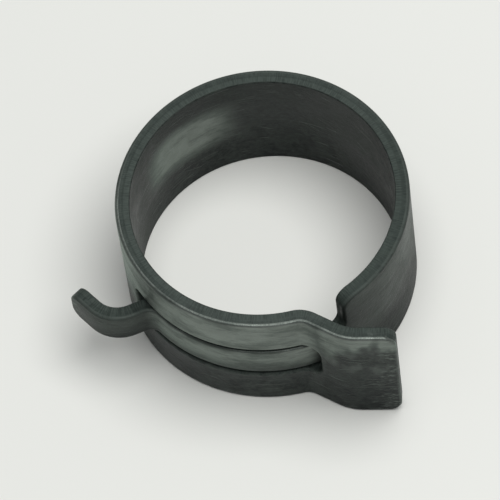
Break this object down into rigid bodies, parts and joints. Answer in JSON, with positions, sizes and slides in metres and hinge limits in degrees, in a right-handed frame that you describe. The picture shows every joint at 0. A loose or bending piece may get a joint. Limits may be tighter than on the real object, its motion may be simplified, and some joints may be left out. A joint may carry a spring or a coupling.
{
  "type": "hose clamp",
  "caption": "Self-tightening band clamp for hoses: a rolled spring-steel strip whose slotted end and tongue cross and finish in gripping tangs; squeezing the tangs widens the ring.",
  "frame": {"origin": "centre of the bore, half way up the band", "axes": "+Z along the bore axis; -Y towards the front, where the ends of the strip cross; +X towards the wide tang"},
  "size_m": [0.0274, 0.0236, 0.012],
  "materials": {
    "coated_spring_steel": "satin"
  },
  "bodies": {
    "back": {"back_band": "coated_spring_steel"},
    "left_rear": {"left_rear_band": "coated_spring_steel"},
    "left_side": {"left_side_band": "coated_spring_steel"},
    "left_front": {"left_front_band": "coated_spring_steel"},
    "window_end": {"window_band": "coated_spring_steel", "upper_rail_start": "coated_spring_steel", "lower_rail_start": "coated_spring_steel"},
    "rails": {"upper_rail": "coated_spring_steel", "lower_rail": "coated_spring_steel"},
    "wide_end": {"upper_rail_end": "coated_spring_steel", "lower_rail_end": "coated_spring_steel", "upper_tang_root": "coated_spring_steel", "lower_tang_root": "coated_spring_steel", "wide_tang": "coated_spring_steel"},
    "right_rear": {"right_rear_band": "coated_spring_steel"},
    "right_side": {"right_side_band": "coated_spring_steel"},
    "right_front": {"right_front_band": "coated_spring_steel"},
    "shoulder": {"shoulder_band": "coated_spring_steel", "tongue_root": "coated_spring_steel"},
    "tongue": {"tongue_middle": "coated_spring_steel"},
    "narrow_end": {"tongue_end": "coated_spring_steel", "narrow_tang": "coated_spring_steel"}
  },
  "joints": [
    {"name": "flex_left_rear", "type": "hinge", "parent": "back", "child": "left_rear", "pos_m": [-0.00365, 0.01122, 0], "axis": [0, 0, -1], "range_deg": [0, 4], "stiffness_Nm_per_rad": 0.02},
    {"name": "flex_left_side", "type": "hinge", "parent": "left_rear", "child": "left_side", "pos_m": [-0.00904, 0.00758, 0], "axis": [0, 0, -1], "range_deg": [0, 4]},
    {"name": "flex_left_front", "type": "hinge", "parent": "left_side", "child": "left_front", "pos_m": [-0.01169, 0.00164, 0], "axis": [0, 0, -1], "range_deg": [0, 4]},
    {"name": "flex_window_end", "type": "hinge", "parent": "left_front", "child": "window_end", "pos_m": [-0.01078, -0.0048, 0], "axis": [0, 0, -1], "range_deg": [0, 4]},
    {"name": "flex_rails", "type": "hinge", "parent": "window_end", "child": "rails", "pos_m": [-0.0066, -0.00978, 0], "axis": [0, 0, -1], "range_deg": [0, 4]},
    {"name": "flex_wide_end", "type": "hinge", "parent": "rails", "child": "wide_end", "pos_m": [-0.00041, -0.01179, 0], "axis": [0, 0, -1], "range_deg": [0, 4]},
    {"name": "flex_right_rear", "type": "hinge", "parent": "back", "child": "right_rear", "pos_m": [0.00365, 0.01122, 0], "axis": [0, 0, 1], "range_deg": [0, 4]},
    {"name": "flex_right_side", "type": "hinge", "parent": "right_rear", "child": "right_side", "pos_m": [0.00904, 0.00758, 0], "axis": [0, 0, 1], "range_deg": [0, 4]},
    {"name": "flex_right_front", "type": "hinge", "parent": "right_side", "child": "right_front", "pos_m": [0.01169, 0.00164, 0], "axis": [0, 0, 1], "range_deg": [0, 4]},
    {"name": "flex_shoulder", "type": "hinge", "parent": "right_front", "child": "shoulder", "pos_m": [0.01078, -0.0048, 0], "axis": [0, 0, 1], "range_deg": [0, 4]},
    {"name": "flex_tongue", "type": "hinge", "parent": "shoulder", "child": "tongue", "pos_m": [0.0066, -0.00978, 0], "axis": [0, 0, 1], "range_deg": [0, 4]},
    {"name": "flex_narrow_end", "type": "hinge", "parent": "tongue", "child": "narrow_end", "pos_m": [0.00041, -0.01179, 0], "axis": [0, 0, 1], "range_deg": [0, 4]}
  ],
  "couplings": [
    {"joint": "flex_left_side", "follows": "flex_left_rear", "ratio": 1},
    {"joint": "flex_left_front", "follows": "flex_left_rear", "ratio": 1},
    {"joint": "flex_window_end", "follows": "flex_left_rear", "ratio": 1},
    {"joint": "flex_rails", "follows": "flex_left_rear", "ratio": 1},
    {"joint": "flex_wide_end", "follows": "flex_left_rear", "ratio": 1},
    {"joint": "flex_right_rear", "follows": "flex_left_rear", "ratio": 1},
    {"joint": "flex_right_side", "follows": "flex_left_rear", "ratio": 1},
    {"joint": "flex_right_front", "follows": "flex_left_rear", "ratio": 1},
    {"joint": "flex_shoulder", "follows": "flex_left_rear", "ratio": 1},
    {"joint": "flex_tongue", "follows": "flex_left_rear", "ratio": 1},
    {"joint": "flex_narrow_end", "follows": "flex_left_rear", "ratio": 1}
  ]
}
